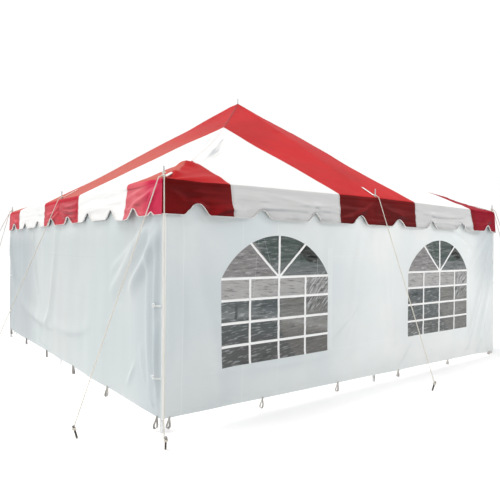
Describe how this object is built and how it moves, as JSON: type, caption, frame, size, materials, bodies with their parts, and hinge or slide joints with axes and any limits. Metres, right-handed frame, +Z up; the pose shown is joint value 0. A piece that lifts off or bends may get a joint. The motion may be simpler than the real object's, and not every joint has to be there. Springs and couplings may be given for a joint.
{
  "type": "marquee tent",
  "caption": "Square pole marquee tent with a striped sagging hipped roof, scalloped valances, full side walls with arched clear windows, and roped and staked side poles.",
  "frame": {"origin": "centre of the tent's square plan on the ground, at the foot of the centre pole", "axes": "+Z up; +Y from the windowed front wall to the back wall; +X to the right as seen from in front"},
  "size_m": [8.1709, 7.5593, 4.328],
  "materials": {
    "roof_vinyl": "coated vinyl, white with red stripes",
    "valance_vinyl": "coated vinyl, red and white",
    "wall_vinyl": "coated vinyl, cool white",
    "clear_vinyl": "clear vinyl",
    "pole_metal": "satin",
    "rope_fibre": "three-strand rope, cream",
    "stake_steel": "dark forged steel"
  },
  "bodies": {
    "root": {"roof_front": "roof_vinyl", "roof_right": "roof_vinyl", "roof_back": "roof_vinyl", "roof_left": "roof_vinyl", "valance_front": "valance_vinyl", "valance_right": "valance_vinyl", "valance_back": "valance_vinyl", "valance_left": "valance_vinyl", "wall_front": "wall_vinyl", "wall_right": "wall_vinyl", "wall_back": "wall_vinyl", "wall_left": "wall_vinyl", "window_front_left": "clear_vinyl", "window_front_right": "clear_vinyl", "window_back_left": "clear_vinyl", "window_back_right": "clear_vinyl", "centre_pole": "pole_metal", "pole_front_left": "pole_metal", "pole_front": "pole_metal", "pole_front_right": "pole_metal", "pole_right": "pole_metal", "pole_back_right": "pole_metal", "pole_back": "pole_metal", "pole_back_left": "pole_metal", "pole_left": "pole_metal", "guy_rope_front_left_a": "rope_fibre", "stake_front_left_a": "stake_steel", "guy_rope_front_left_b": "rope_fibre", "stake_front_left_b": "stake_steel", "guy_rope_front": "rope_fibre", "stake_front": "stake_steel", "guy_rope_front_right_a": "rope_fibre", "stake_front_right_a": "stake_steel", "guy_rope_front_right_b": "rope_fibre", "stake_front_right_b": "stake_steel", "guy_rope_right": "rope_fibre", "stake_right": "stake_steel", "guy_rope_back_right_a": "rope_fibre", "stake_back_right_a": "stake_steel", "guy_rope_back_right_b": "rope_fibre", "stake_back_right_b": "stake_steel", "guy_rope_back": "rope_fibre", "stake_back": "stake_steel", "guy_rope_back_left_a": "rope_fibre", "stake_back_left_a": "stake_steel", "guy_rope_back_left_b": "rope_fibre", "stake_back_left_b": "stake_steel", "guy_rope_left": "rope_fibre", "stake_left": "stake_steel"}
  },
  "joints": []
}
